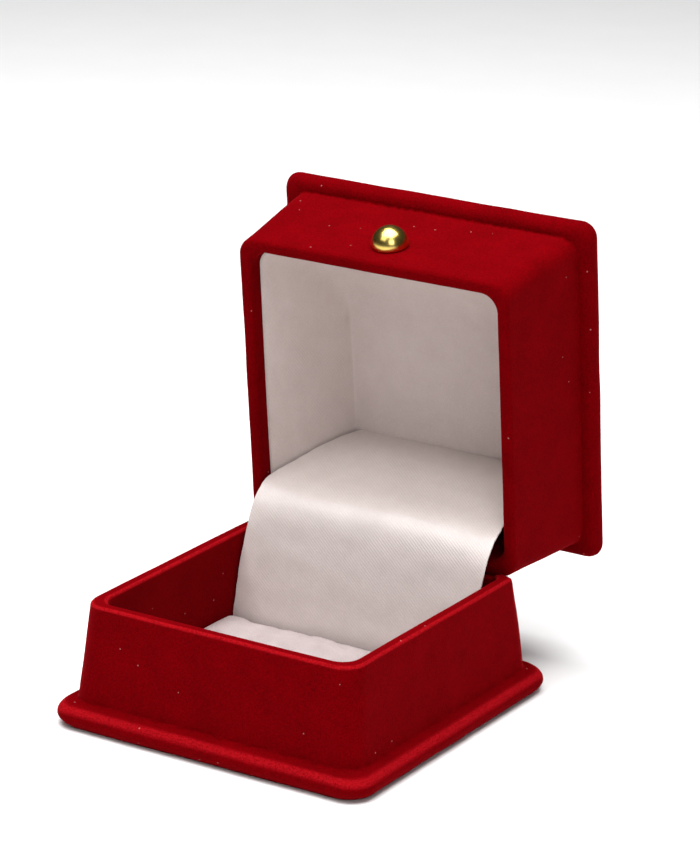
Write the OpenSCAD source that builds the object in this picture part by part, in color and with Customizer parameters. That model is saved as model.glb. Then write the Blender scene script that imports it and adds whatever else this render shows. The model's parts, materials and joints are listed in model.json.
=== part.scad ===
// Sprung ring box: a flocked base and lid on a three-knuckle hinge, with a
// slotted ring pad, a card lining in the lid and a satin flap over the hinge.
// Millimetres, +Z up, origin at the centre of the underside, front towards -Y.
// The lid's pieces are drawn shut and then turned back to their open rest.

/* [Box] */
// Width of the two rims, left to right
rim_w = 50; // [48:0.5:54]
// Depth of the two rims, front to back
rim_d = 50; // [49:0.5:54]
// Height of the base, from the table to its rim
base_h = 20.1; // [20:0.1:24]
// Height of the lid, from its rim to its top
lid_h = 23.1; // [22:0.1:25]
// Thickness of the walls at the rims, flock included
wall = 2.2; // [2.1:0.1:2.6]
// Corner radius of the walls, outside
corner_r = 3.8; // [3.4:0.1:4.4]
// Corner radius of the compartment and of the lid's opening
inner_r = 3; // [2.6:0.1:3.2]
// How far the lid stands open at rest
open_angle = 84.5; // [70:0.5:86]

/* [Beads] */
// Radius of the half-round bead round the foot of the base
base_bead_r = 2; // [1.9:0.1:2.2]
// Radius of the half-round bead round the top of the lid
lid_bead_r = 2.1; // [1.9:0.1:2.1]
// How far the base's bead stands out past its rim
base_bead_out = 4; // [4:0.1:5]
// How far the lid's bead stands out past its rim
lid_bead_out = 3.9; // [3.9:0.1:5]
// Corner radius of the base's bead, seen from above
base_bead_corner = 4.4; // [3:0.1:5]
// Corner radius of the lid's bead, seen from above
lid_bead_corner = 3; // [2.6:0.1:5]
// How far the base's walls lean out from rim to foot
base_flare = 1.4; // [0.8:0.1:1.5]
// How far the lid's walls lean out from rim to bead
lid_flare = 1.5; // [0.8:0.1:1.5]
// Depth of the rounding under a bead, in from its widest line
bead_tuck = 1.6; // [1.2:0.1:2]

/* [Stud] */
// Radius of the dome stud on the lid's front wall
stud_r = 3; // [2.2:0.1:3.2]
// Height of the stud's centre above the lid's rim
stud_up = 6.2; // [5.6:0.1:8]

/* [Ring pad] */
// Height of the pad's top above the compartment's floor
pad_h = 4.6; // [4:0.1:6]
// Width of the slot that grips a ring's band
slot_w = 1.2; // [0.8:0.1:1.6]
// How far the slot lies behind the box's middle
slot_y = 1; // [-1:0.5:2]
// Where the rear of the pad meets the satin flap
pad_rear_y = 13; // [12:0.5:14]

/* [Hinge] */
// Length of the hinge's barrel
hinge_l = 30; // [26:1:34]
// Length of the middle knuckle, which belongs to the lid
knuckle_l = 10; // [8:1:12]
// Radius of the hinge pin
pin_r = 0.55; // [0.5:0.05:0.6]
// Thickness of the hinge's sheet brass
leaf_t = 0.45; // [0.4:0.05:0.5]

/* [Hidden] */

// gaps and clearances
shut_gap = 0.1;          // between the two rims when the box is shut
running = 0.04;          // radial clearance of the lid's knuckle on the pin
knuckle_gap = 0.1;       // between neighbouring knuckles
rear_step = 1;           // how far the base's rear rim lies below its other rims
cut = 0.5;               // overshoot of every cutting solid

// walls and floors
rim_edge = 0.7;          // rounding of the rims' edges
corner_steps = 7;        // facets round one corner of the shells
plate_t = 0.8;           // thickness of the covered card under the base
plate_inset = 1.6;       // from the bead's contact line to the card's edge
plate_gap = 0.1;
floor_top = 2.6;         // top of the base's moulded floor
lid_roof = 1.7;          // thickness of the lid's roof
lid_rim_z = base_h + shut_gap;
top_z = lid_rim_z + lid_h;

// hinge axis: level with the lid's rim and close to the rear wall's outer face
knuckle_r = pin_r + leaf_t;
hinge_back = 1.6;        // from the axis back to the rims' rear face
hinge_up = 0.65;         // from the lid's rim up to the axis
hinge_y = rim_d / 2 - hinge_back;
hinge_z = lid_rim_z + hinge_up;
inner_y = rim_d / 2 - wall;
inner_x = rim_w / 2 - wall;
leaf_drop = 8;           // length of each leaf below or above the barrel
leaf_window = 2;         // the base's leaf is cut away this far under the middle knuckle
rivet_x = 10;
rivet_drop = 5.5;        // from the axis to the rivets' line
rivet_r = 0.7;
rivet_head_r = 1.3;
rivet_head_t = 0.5;
rivet_depth = 1.4;       // of each blind hole in a shell's rear wall
spring_t = 0.25;
spring_w = 7;
notch_side = 0.6;        // room beside the barrel in the two rear walls
notch_top = 0.35;        // room above the barrel
barrel_notch = hinge_l + 2 * notch_side;

// lid lining
lining_t = 0.4;
lining_gap = 0.43;       // from the lid's walls to the lining's face at the rim
lining_foot = lid_rim_z + 2.2;
panel_z = top_z - 3.5;   // face of the lining under the roof
cove_r = panel_z - lining_foot - 0.5;    // the lining bends from the front wall into the roof
lean = 5.6;              // how far a side lining leans in from foot to roof
panel_rear_y = 19;
side_gap = 0.15;         // between a side lining and the bent panel

// satin flap: front face of its route in the open box, from the pad to the roof
flap_t = 0.3;
flap_half = 22.1;        // half its width in the base and over the hinge
flap_far_half = 16;      // half its width where it meets the roof's lining
flap_turn_y = 22.5;      // where it enters the lid and starts to narrow
flap_route = [[13.9, 3.5], [13.6, 7.2], [14.3, 11.4], [15.4, 15.6], [16.8, 19.6], [18.3, 23],
              [20.1, 25.5], [22.9, 27.2], [26, 27.9], [30, 29], [35, 30.3], [41, 31.6]];

// ---- points and outlines

// points of an arc in a plane, from angle a to angle b
function arc(c, r, a, b, n) = [for (i = [0:n]) c + r * [cos(a + (b - a) * i / n), sin(a + (b - a) * i / n)]];

// a rounded rectangle at height z, standing out past the rims by out
function rim_ring(out, z, r) =
    [for (q = [0:3], i = [0:corner_steps])
        let (a = 90 * (q + i / corner_steps),
             side = [(q == 0 || q == 3) ? 1 : -1, q < 2 ? 1 : -1])
        [side.x * (rim_w / 2 + out - r) + r * cos(a), side.y * (rim_d / 2 + out - r) + r * sin(a), z]];

// the closed skin of a stack of rings with the same number of points
function stack_faces(rings, n) = concat(
    [[for (i = [0:n - 1]) i]],
    [for (k = [0:rings - 2], i = [0:n - 1])
        let (a = k * n + i, b = k * n + (i + 1) % n) [a, a + n, b + n, b]],
    [[for (i = [n - 1:-1:0]) (rings - 1) * n + i]]);

// half a box as a stack of rings: out over the bead, up the wall, over the rim
// and down the inside to the floor; each entry is [out, height, corner radius]
function shell_rings(h, bead_r, bead_out, bead_corner, flare, floor_z) =
    let (bead_c = bead_out - bead_r,
         fillet = bead_c - flare,
         outside = concat(
             [for (t = [0:0.2:0.8]) [bead_out - bead_tuck * pow(1 - t, 2), bead_r * t]],
             arc([bead_c, bead_r], bead_r, 0, 90, 5),
             arc([bead_c, 2 * bead_r + fillet], fillet, 255, 180, 4),
             arc([-rim_edge, h - rim_edge], rim_edge, 0, 90, 4)),
         inside = concat(
             arc([rim_edge - wall, h - rim_edge], rim_edge, 90, 180, 4),
             [[-wall, floor_z]]))
    concat([for (p = outside)
               let (share = max(p.x - flare, 0) / (bead_out - flare))
               [p.x, p.y, corner_r + share * (bead_corner - corner_r)]],
           [for (p = inside) [p.x, p.y, inner_r]]);

module half_shell(h, bead_r, bead_out, bead_corner, flare, floor_z) {
    rings = shell_rings(h, bead_r, bead_out, bead_corner, flare, floor_z);
    n = 4 * (corner_steps + 1);
    polyhedron([for (k = rings) each rim_ring(k.x, k.y, k.z)], stack_faces(len(rings), n), convexity = 6);
}

module rounded_slab(w, d, r, z0, z1) {
    translate([0, 0, z0]) linear_extrude(z1 - z0)
        for (s = [-1, 1]) {
            translate([s * (w / 2 - r), d / 2 - r]) circle(r, $fn = 48);
            translate([s * (w / 2 - r), r - d / 2]) circle(r, $fn = 48);
            square([w, d - 2 * r], center = true);
            square([w - 2 * r, d], center = true);
        }
}

// an outline drawn in Y and Z, extruded along X and centred
module along_x(width) {
    translate([-width / 2, 0, 0]) rotate([90, 0, 90]) linear_extrude(width) children();
}

module x_rod(r, x0, x1) {
    translate([x0, hinge_y, hinge_z]) rotate([0, 90, 0]) cylinder(r = r, h = x1 - x0, $fn = 48);
}

module y_rod(r, x, y0, y1, z) {
    translate([x, y1, z]) rotate([90, 0, 0]) cylinder(r = r, h = y1 - y0, $fn = 48);
}

// turns a piece of the shut lid back to where it stands at rest
module opened() {
    translate([0, hinge_y, hinge_z]) rotate([-open_angle, 0, 0])
        translate([0, -hinge_y, -hinge_z]) children();
}

// ---- base

module base_shell() {
    color("#a50d18") difference() {
        half_shell(base_h, base_bead_r, base_bead_out, base_bead_corner, base_flare, floor_top);
        rounded_slab(plate_w(), plate_d(), corner_r, -cut, plate_t);
        translate([-rim_w, hinge_y - hinge_back / 2, base_h - rear_step])
            cube([2 * rim_w, rim_d, cut + rear_step]);
        translate([-barrel_notch / 2, inner_y - cut, hinge_z - knuckle_r - shut_gap])
            cube([barrel_notch, rim_d, knuckle_r + cut]);
        for (s = [-1, 1])
            y_rod(rivet_r, s * rivet_x, inner_y - cut, inner_y + rivet_depth, hinge_z - rivet_drop);
    }
}

function plate_w() = rim_w + 2 * (base_bead_out - bead_tuck - plate_inset);
function plate_d() = rim_d + 2 * (base_bead_out - bead_tuck - plate_inset);

module base_plate() {
    color("#5b0a10")
        rounded_slab(plate_w() - 2 * plate_gap, plate_d() - 2 * plate_gap, corner_r - plate_gap, 0, plate_t);
}

// ---- ring pad

pad_side = 0.35;         // room between the pad and the walls
card_t = 0.6;
cover_t = 0.3;
roll_r = 1.8;            // rounding of the foam rolls' upper edges
pad_w = 2 * (inner_x - pad_side);
pad_front_y = -inner_y + pad_side;
card_top = floor_top + card_t;
pad_top = floor_top + pad_h;
slot_floor = card_top + 0.6;

// the pad's outline seen from above, set in by a gap and rounded to the compartment's corners
module pad_room(inset) {
    rounded_slab(pad_w - 2 * inset, -2 * pad_front_y - 2 * inset, inner_r, floor_top, base_h);
}

module pad_card() {
    color("#e9e4dc") intersection() {
        pad_room(0);
        translate([-pad_w / 2, pad_front_y, floor_top]) cube([pad_w, pad_rear_y - pad_front_y, card_t]);
    }
}

// outline of one roll between y0 and y1, with its upper edges rounded
function roll_outline(y0, y1, z0, z1, r) = concat(
    [[y0, z0], [y1, z0]],
    arc([y1 - r, z1 - r], r, 0, 90, 8),
    arc([y0 + r, z1 - r], r, 90, 180, 8));

function front_roll(grow) = roll_outline(pad_front_y + cover_t - grow, slot_y - slot_w / 2 - cover_t + grow,
    card_top, pad_top - cover_t + grow, roll_r + grow);
function rear_roll(grow) = roll_outline(slot_y + slot_w / 2 + cover_t - grow, pad_rear_y - cover_t + grow,
    card_top, pad_top - cover_t + grow, roll_r + grow);

module pad_foam_front() {
    color("#f3ece0") intersection() {
        pad_room(cover_t);
        along_x(pad_w - 2 * cover_t) polygon(front_roll(0));
    }
}

module pad_foam_rear() {
    color("#f3ece0") along_x(pad_w - 2 * cover_t) polygon(rear_roll(0));
}

// one cloth over both rolls, tucked down into the slot between them
module pad_cover() {
    color("#efe6e2") intersection() {
        pad_room(0);
        along_x(pad_w) difference() {
            union() {
                polygon(front_roll(cover_t));
                polygon(rear_roll(cover_t));
                translate([slot_y - slot_w, card_top]) square([2 * slot_w, slot_floor - card_top]);
            }
            polygon(front_roll(0));
            polygon(rear_roll(0));
        }
    }
}

// ---- hinge

// a leaf seen from its end: flat on the rear wall, then a tangent run to the barrel;
// up is -1 for the leaf in the base and 1 for the leaf in the lid
module leaf_plate(up, width, top) {
    along_x(width) translate([inner_y - leaf_t, hinge_z])
        scale([1, up]) translate([0, top]) square([leaf_t, knuckle_r + leaf_drop - top]);
}

module leaf_run(up, x0, x1) {
    translate([x0, inner_y - leaf_t, up > 0 ? hinge_z + pin_r : hinge_z - knuckle_r])
        cube([x1 - x0, hinge_y - inner_y + leaf_t, leaf_t]);
}

module knuckle(bore_r, x0, x1) {
    difference() {
        x_rod(knuckle_r, x0, x1);
        x_rod(bore_r, x0 - cut, x1 + cut);
    }
}

module rivet_holes(up) {
    for (s = [-1, 1])
        y_rod(rivet_r, s * rivet_x, inner_y - leaf_t - cut, inner_y + cut, hinge_z + up * rivet_drop);
}

module hinge_leaf_base() {
    inside = knuckle_l / 2 + knuckle_gap;
    color("#c9a24b") difference() {
        union() {
            difference() {
                leaf_plate(-1, hinge_l, pin_r);
                translate([-inside, 0, hinge_z - knuckle_r - leaf_window])
                    cube([2 * inside, rim_d, 2 * leaf_window]);
            }
            for (x0 = [-hinge_l / 2, inside]) {
                difference() {
                    leaf_run(-1, x0, x0 + hinge_l / 2 - inside);
                    x_rod(pin_r, x0 - cut, x0 + hinge_l / 2);
                }
                knuckle(pin_r, x0, x0 + hinge_l / 2 - inside);
            }
        }
        rivet_holes(-1);
    }
}

module hinge_leaf_lid() {
    half = knuckle_l / 2 - knuckle_gap;
    opened() color("#c9a24b") difference() {
        union() {
            leaf_plate(1, hinge_l, knuckle_r);
            leaf_plate(1, 2 * half, pin_r);
            difference() {
                leaf_run(1, -half, half);
                x_rod(pin_r + running, -half - cut, half + cut);
            }
            knuckle(pin_r + running, -half, half);
        }
        rivet_holes(1);
    }
}

module hinge_pin() {
    color("#b8b8b4") x_rod(pin_r, -hinge_l / 2, hinge_l / 2);
}

module rivets(up) {
    for (s = [-1, 1]) {
        y_rod(rivet_r, s * rivet_x, inner_y - leaf_t, inner_y + rivet_depth, hinge_z + up * rivet_drop);
        y_rod(rivet_head_r, s * rivet_x, inner_y - leaf_t - rivet_head_t, inner_y - leaf_t,
              hinge_z + up * rivet_drop);
    }
}

module hinge_rivets_base() {
    color("#d8b765") rivets(-1);
}

module hinge_rivets_lid() {
    opened() color("#d8b765") rivets(1);
}

// a flat spring on the base's leaf that bears on the lid's knuckle and holds it open or shut
module hinge_spring() {
    foot_y = inner_y - leaf_t - spring_t;
    nose_y = hinge_y - knuckle_r - shut_gap - spring_t;
    spring_bend = hinge_z - knuckle_r - leaf_window + shut_gap;
    color("#9a9a98") along_x(spring_w) polygon([
        [foot_y, hinge_z - 7.5], [foot_y + spring_t, hinge_z - 7.5],
        [foot_y + spring_t, spring_bend], [nose_y + spring_t, hinge_z - 0.4],
        [nose_y + spring_t, hinge_z + 0.2], [nose_y, hinge_z + 0.2],
        [nose_y, hinge_z - 0.4], [foot_y, spring_bend]]);
}

// ---- lid

module lid_shell() {
    opened() color("#a50d18") difference() {
        translate([0, 0, top_z]) mirror([0, 0, 1])
            half_shell(lid_h, lid_bead_r, lid_bead_out, lid_bead_corner, lid_flare, lid_roof);
        translate([-barrel_notch / 2, inner_y - cut, lid_rim_z - cut])
            cube([barrel_notch, wall + 2 * cut, hinge_up + knuckle_r + notch_top + cut]);
        for (s = [-1, 1])
            y_rod(rivet_r, s * rivet_x, inner_y - cut, inner_y + rivet_depth, hinge_z + rivet_drop);
        on_stud_axis(-washer_depth - wall, cut) rod(stud_shank_r);
        on_stud_axis(-washer_depth - wall, -washer_depth) rod(washer_r);
    }
}

// foam behind the roof's lining
module lid_foam() {
    opened() color("#f3ece0")
        translate([1 - inner_x + lean, -inner_y + lining_gap + cove_r, panel_z + lining_t])
            cube([2 * (inner_x - lean - 1), panel_rear_y + inner_y - lining_gap - cove_r,
                  top_z - lid_roof - panel_z - lining_t]);
}

// the bent panel's face, from the front of the rim up and back under the roof
cove_c = [lining_gap - inner_y + cove_r, panel_z - cove_r];
function panel_face(grow) = concat(
    [[cove_c.x - cove_r - grow, lining_foot]],
    arc(cove_c, cove_r + grow, 180, 90, 16),
    [[panel_rear_y, panel_z + grow]]);

// how far a side lining's face stands from the middle at height z
side_slope = lean / (panel_z - lining_foot);
function side_x(z) = inner_x - lining_gap - side_slope * (z - lining_foot);

// the room inside the lid's walls, with corners a little rounder than theirs
module lid_room() {
    rounded_slab(2 * inner_x, 2 * inner_y, inner_r + 0.1, lid_rim_z, top_z);
}

module lid_lining_panel() {
    face = panel_face(0);
    back = panel_face(lining_t);
    low = lining_foot - cut;
    high = panel_z + lining_t + cut;
    opened() color("#e6dcda") intersection() {
        lid_room();
        along_x(rim_w) polygon(concat(face, [for (i = [len(back) - 1:-1:0]) back[i]]));
        rotate([90, 0, 0]) linear_extrude(rim_d, center = true)
            polygon([[-side_x(low), low], [side_x(low), low], [side_x(high), high], [-side_x(high), high]]);
    }
}

// a side lining: cut to the bent panel's face, leaning in from the rim to the roof
module side_lining(s) {
    top = panel_z - side_gap;
    face = panel_face(-side_gap);
    rear = panel_rear_y - 1;
    opened() color("#e6dcda") intersection() {
        lid_room();
        along_x(rim_w)
            polygon(concat([for (p = face) [min(p.x, rear), min(p.y, top)]], [[rear, lining_foot]]));
        rotate([90, 0, 0]) linear_extrude(rim_d, center = true)
            polygon([[s * side_x(lining_foot), lining_foot],
                     [s * (side_x(lining_foot) - lining_t), lining_foot],
                     [s * (side_x(top) - lining_t), top], [s * side_x(top), top]]);
    }
}

module lid_lining_left() {
    side_lining(-1);
}

module lid_lining_right() {
    side_lining(1);
}

// ---- stud

stud_z = lid_rim_z + stud_up;
stud_shank_r = 0.8;
stud_skirt = 0.1;                  // straight edge under the dome
washer_r = 2.1;
washer_t = 0.4;
washer_depth = 1.7;                // from the wall's outer face in to the washer
// the lid's front wall runs straight from its rim's edge to the fillet under the bead
wall_run = lid_h - rim_edge - 2 * lid_bead_r - (lid_bead_out - lid_bead_r - lid_flare);
wall_lean = atan(lid_flare / wall_run);
stud_wall_y = -rim_d / 2 - lid_flare * (stud_up - rim_edge) / wall_run;

// draws its children along the stud's axis, which is square to the front wall,
// from depth a to depth b; 0 is the wall's outer face and + points outwards
module on_stud_axis(a, b) {
    translate([0, stud_wall_y, stud_z]) rotate([90 + wall_lean, 0, 0])
        translate([0, 0, a]) scale([1, 1, b - a]) children();
}

module rod(r) {
    cylinder(r = r, h = 1, $fn = 48);
}

module stud_dome() {
    opened() color("#d9ab45") {
        on_stud_axis(0, 1) rotate_extrude($fn = 64)
            polygon(concat([[0, 0], [stud_r, 0]], arc([0, stud_skirt], stud_r, 0, 90, 12)));
        on_stud_axis(-washer_depth - washer_t, 0) rod(stud_shank_r);
    }
}

module stud_washer() {
    opened() color("#b8b8b4") difference() {
        on_stud_axis(-washer_depth - washer_t, -washer_depth) rod(washer_r);
        on_stud_axis(-washer_depth - 2 * washer_t, 0) rod(stud_shank_r);
    }
}

// ---- satin flap

// half width of the flap at depth y: it narrows once it lies inside the lid
flap_end_y = flap_route[len(flap_route) - 1].x;
function flap_half_at(y) =
    flap_half - (flap_half - flap_far_half) * max(y - flap_turn_y, 0) / (flap_end_y - flap_turn_y);

// direction square to the route at step k, away from the compartment
function flap_normal(k) =
    let (a = flap_route[max(k - 1, 0)], b = flap_route[min(k + 1, len(flap_route) - 1)],
         d = (b - a) / norm(b - a)) [d.y, -d.x];

module satin_flap() {
    steps = len(flap_route);
    color("#efe8e6") polyhedron(
        [for (k = [0:steps - 1])
            let (p = flap_route[k], q = p + flap_t * flap_normal(k), w = flap_half_at(p.x))
            each [[-w, p.x, p.y], [w, p.x, p.y], [w, q.x, q.y], [-w, q.x, q.y]]],
        stack_faces(steps, 4), convexity = 4);
}

base_shell();
base_plate();
pad_card();
pad_foam_front();
pad_foam_rear();
pad_cover();
hinge_leaf_base();
hinge_pin();
hinge_rivets_base();
hinge_spring();
lid_shell();
lid_foam();
lid_lining_panel();
lid_lining_left();
lid_lining_right();
stud_dome();
stud_washer();
hinge_leaf_lid();
hinge_rivets_lid();
satin_flap();
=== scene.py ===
# %% [markdown]
# # A flocked ring box
#
# The box is a small sprung jewellery box. A thin moulded shell makes the base and
# another makes the lid, and both are flocked: blown with short red fibres that stand
# in glue. Inside are a ring pad under satin, a satin-covered lining in the lid and a
# loose satin flap that hides the brass hinge.
#
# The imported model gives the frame, the bodies and the exact sizes. Everything here is
# in metres in that frame: +Z up, the origin in the middle of the underside, and the
# front towards -Y. The lid stands open at rest.

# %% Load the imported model
import json
import math

import bmesh
import bpy
import numpy as np
from mathutils import Matrix, Vector


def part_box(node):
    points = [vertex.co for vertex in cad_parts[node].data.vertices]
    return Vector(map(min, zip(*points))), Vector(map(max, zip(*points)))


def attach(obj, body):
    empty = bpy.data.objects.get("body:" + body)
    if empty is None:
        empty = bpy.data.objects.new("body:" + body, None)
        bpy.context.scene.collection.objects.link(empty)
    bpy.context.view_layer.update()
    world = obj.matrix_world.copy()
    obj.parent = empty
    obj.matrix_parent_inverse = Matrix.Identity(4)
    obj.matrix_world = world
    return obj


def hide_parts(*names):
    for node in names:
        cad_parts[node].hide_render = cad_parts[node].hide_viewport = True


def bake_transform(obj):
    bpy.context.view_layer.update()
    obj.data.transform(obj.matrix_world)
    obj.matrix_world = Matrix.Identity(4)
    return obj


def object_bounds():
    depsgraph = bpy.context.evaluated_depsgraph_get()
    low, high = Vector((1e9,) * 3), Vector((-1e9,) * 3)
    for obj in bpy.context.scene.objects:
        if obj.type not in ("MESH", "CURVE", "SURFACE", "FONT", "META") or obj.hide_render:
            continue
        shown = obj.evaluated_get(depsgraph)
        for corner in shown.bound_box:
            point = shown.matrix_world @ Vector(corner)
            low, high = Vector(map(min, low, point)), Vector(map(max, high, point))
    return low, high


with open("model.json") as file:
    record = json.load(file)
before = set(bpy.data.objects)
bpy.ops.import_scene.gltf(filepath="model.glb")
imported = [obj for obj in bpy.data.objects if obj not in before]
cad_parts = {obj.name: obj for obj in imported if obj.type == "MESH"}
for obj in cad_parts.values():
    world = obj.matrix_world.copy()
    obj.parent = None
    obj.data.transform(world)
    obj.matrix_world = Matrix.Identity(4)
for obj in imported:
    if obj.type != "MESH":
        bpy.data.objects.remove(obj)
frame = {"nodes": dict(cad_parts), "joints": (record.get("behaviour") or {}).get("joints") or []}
cad_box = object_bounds()
MM = 0.001
print("nodes:", ", ".join(sorted(frame["nodes"])))

# %% [markdown]
# ## The sizes that everything follows
#
# Most sizes are read back from the CAD nodes, so a changed design still fits. The few
# that a bounding box can't give, such as a fillet, are named here once.

# %% Driving sizes
base_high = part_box("base_shell")[1]
hinge_joint = frame["joints"][0]
hinge = Vector(hinge_joint["pos_m"])
open_angle = math.radians(max(hinge_joint["range_deg"]))

base_bead_out = 4.0 * MM
lid_bead_out = 3.9 * MM
base_bead_r = 2.0 * MM
lid_bead_r = 2.1 * MM
base_bead_corner = 4.4 * MM
lid_bead_corner = 2.5 * MM
base_flare = 1.4 * MM
lid_flare = 1.5 * MM
bead_tuck = 1.6 * MM
wall = 2.2 * MM
base_corner_r = 3.8 * MM
lid_corner_r = 3.0 * MM
inner_r = 3.0 * MM
rim_edge = 0.8 * MM
rear_step = 1.0 * MM

rim_half = base_high.x - base_bead_out
base_h = base_high.z
rim_z = base_h + 0.1 * MM
lid_h = 23.1 * MM
top_z = rim_z + lid_h
inner_half = rim_half - wall
print(f"rims {2000 * rim_half:.1f} mm wide, base {1000 * base_h:.1f} mm, shut {1000 * top_z:.1f} mm")


# %% [markdown]
# The lid is drawn shut, straight above the base, and then turned back about the hinge.
# That keeps its walls square to the axes while they are built.

# %% Turning the lid's points back to rest
turn_open = (
    Matrix.Translation(hinge)
    @ Matrix.Rotation(-open_angle, 4, "X")
    @ Matrix.Translation(-hinge)
)


def opened(points):
    """The points of a shut lid's piece, turned to where it stands at rest."""
    turn = np.array(turn_open)
    return points @ turn[:3, :3].T + turn[:3, 3]


# %% [markdown]
# ## Small mesh tools
#
# Every piece is points and faces worked out in code. Most are a grid: one direction
# runs along the piece and the other across or around it, so a single function can
# stitch them.

# %% Mesh tools
def grid_faces(rows, columns, around=False):
    """Quads between neighbouring rows; around joins the last column to the first."""
    last = columns if around else columns - 1
    return [
        (r * columns + c, r * columns + (c + 1) % columns,
         (r + 1) * columns + (c + 1) % columns, (r + 1) * columns + c)
        for r in range(rows - 1)
        for c in range(last)
    ]


def make_piece(name, points, faces, material, sharp_deg=40):
    """A shaded mesh object with one material, its normals facing outwards."""
    mesh = bpy.data.meshes.new(name)
    mesh.from_pydata([tuple(p) for p in points], [], faces)
    bm = bmesh.new()
    bm.from_mesh(mesh)
    bmesh.ops.remove_doubles(bm, verts=bm.verts, dist=1e-7)
    bmesh.ops.recalc_face_normals(bm, faces=bm.faces)
    bm.to_mesh(mesh)
    bm.free()
    mesh.shade_smooth()
    mesh.set_sharp_from_angle(angle=math.radians(sharp_deg))
    piece = bpy.data.objects.new(name, mesh)
    bpy.context.scene.collection.objects.link(piece)
    piece.data.materials.append(material)
    return piece


def smoothstep(value, low, high):
    t = np.clip((value - low) / (high - low), 0, 1)
    return t * t * (3 - 2 * t)


def arc(centre, radius, start_deg, end_deg, steps):
    angles = np.radians(np.linspace(start_deg, end_deg, steps + 1))
    return np.array(centre) + radius * np.stack([np.cos(angles), np.sin(angles)], 1)


# %% [markdown]
# Cloth, card and flock are never dead flat. A few waves of different lengths and
# directions, added together, give a slow unevenness that is the same on every run.

# %% Slow unevenness
def waviness(points, wavelength, seed):
    """Smooth values from about -1 to 1 that wander over the points."""
    random = np.random.default_rng(seed)
    total = np.zeros(len(points))
    for scale in (1.0, 0.55, 0.3):
        for _ in range(5):
            direction = random.normal(size=3)
            direction /= np.linalg.norm(direction)
            phase = random.uniform(0, 2 * math.pi)
            total += scale * np.sin(points @ direction * 2 * math.pi / (wavelength * scale) + phase)
    return total / 4.2


# %% [markdown]
# ## Material tools
#
# Colours are written as sRGB hex, as a paint chart gives them, and one function turns
# them to the linear values that a shader needs. One more adds a node, sets its values
# and links its inputs, and that is enough to write any material as a short list.

# %% Material tools
def srgb(code):
    """#rrggbb as linear RGBA."""
    parts = [int(code[i:i + 2], 16) / 255 for i in (1, 3, 5)]
    linear = [c / 12.92 if c <= 0.04045 else ((c + 0.055) / 1.055) ** 2.4 for c in parts]
    return (*linear, 1.0)


def add_node(material, kind, links=None, **settings):
    """Adds a node. Settings name its properties or inputs; links feed its inputs."""
    node = material.node_tree.nodes.new(kind)
    for key, value in settings.items():
        if hasattr(node, key):
            setattr(node, key, value)
        else:
            node.inputs[key.replace("_", " ")].default_value = value
    for key, source in (links or {}).items():
        material.node_tree.links.new(source, node.inputs[key])
    return node


def new_material(name):
    """An empty node material with a Principled shader wired to its output."""
    material = bpy.data.materials.new(name)
    material.use_nodes = True
    material.node_tree.nodes.clear()
    shader = add_node(material, "ShaderNodeBsdfPrincipled")
    output = add_node(material, "ShaderNodeOutputMaterial")
    material.node_tree.links.new(shader.outputs["BSDF"], output.inputs["Surface"])
    return material, shader


def colour_ramp(material, source, stops):
    """A ramp from a value to colours; stops are (position, linear colour)."""
    ramp = add_node(material, "ShaderNodeValToRGB", {"Fac": source})
    elements = ramp.color_ramp.elements
    while len(elements) < len(stops):
        elements.new(0.5)
    for element, (position, colour) in zip(elements, stops):
        element.position = position
        element.color = colour
    return ramp.outputs["Color"]


# %% [markdown]
# ## Red flock
#
# Flock is nylon fibre, cut about 0.5 mm long and blown onto wet glue in an electric
# field, so that it stands on end. To the eye it is a matt, deep red that brightens
# where it is seen edge-on, because there the light comes through the fibres' sides:
# that is what a shader's sheen does. Fibres lean in soft patches, which gives faint
# cloudy marks.
#
# Over the base's bead and rim, the curves that face up, a paler band with glints is
# mixed into the red: painted highlight and painted glints, for light caught on the fibres' sides.

# %% Where the highlight is painted
BLACK, WHITE = (0, 0, 0, 1), (1, 1, 1, 1)
PILE = 0.30 * MM       # a tuft of leaning fibres; single fibres are too fine to show
PATCH = 5.0 * MM       # where the pile was stroked one way
# A painted glint is about the size of a few fibres' lit sides.
PAINTED_GLINT = 0.22 * MM      # a lit side of a few fibres
# The heights where the painted highlight goes: the bead and the rim.
bead_share = 2 * base_bead_r / base_h
rim_share = 1 - 1.6 * MM / base_h
highlight_heights = [
    (0.88 * bead_share, WHITE), (bead_share, BLACK),
    (rim_share, BLACK), ((1 + rim_share) / 2, WHITE)]


def multiplied(material, first, second):
    return add_node(material, "ShaderNodeMath", {0: first, 1: second}, operation="MULTIPLY").outputs[0]


def painted_highlight(material, place, red, heights):
    """The red with a painted highlight and painted glints on faces that look up at the given heights."""
    facing = add_node(material, "ShaderNodeSeparateXYZ",
                      {0: add_node(material, "ShaderNodeNewGeometry").outputs["Normal"]})
    upward = colour_ramp(material, facing.outputs["Z"],
                         [(0.22, BLACK), (0.55, WHITE), (0.85, WHITE), (0.97, BLACK)])
    height = add_node(material, "ShaderNodeSeparateXYZ", {0: place})
    share = add_node(material, "ShaderNodeMath", {0: height.outputs["Z"]}, operation="DIVIDE")
    share.inputs[1].default_value = base_h
    zone = colour_ramp(material, share.outputs[0], heights)
    painted_glints = add_node(material, "ShaderNodeTexNoise", {"Vector": place},
                      Scale=1 / PAINTED_GLINT, Detail=1.0, Roughness=0.5)
    strength = add_node(material, "ShaderNodeMapRange", {"Value": painted_glints.outputs["Fac"]},
                        From_Min=0.35, From_Max=0.75, To_Min=0.35, To_Max=1.6)
    amount = multiplied(material, multiplied(material, strength.outputs["Result"], upward), zone)
    # Mixing in this paler red paints the highlight.
    highlighted = add_node(material, "ShaderNodeMix", {"Factor": amount, 6: red}, data_type="RGBA")
    highlighted.inputs[7].default_value = srgb("#940c14")
    return highlighted.outputs[2]


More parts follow.
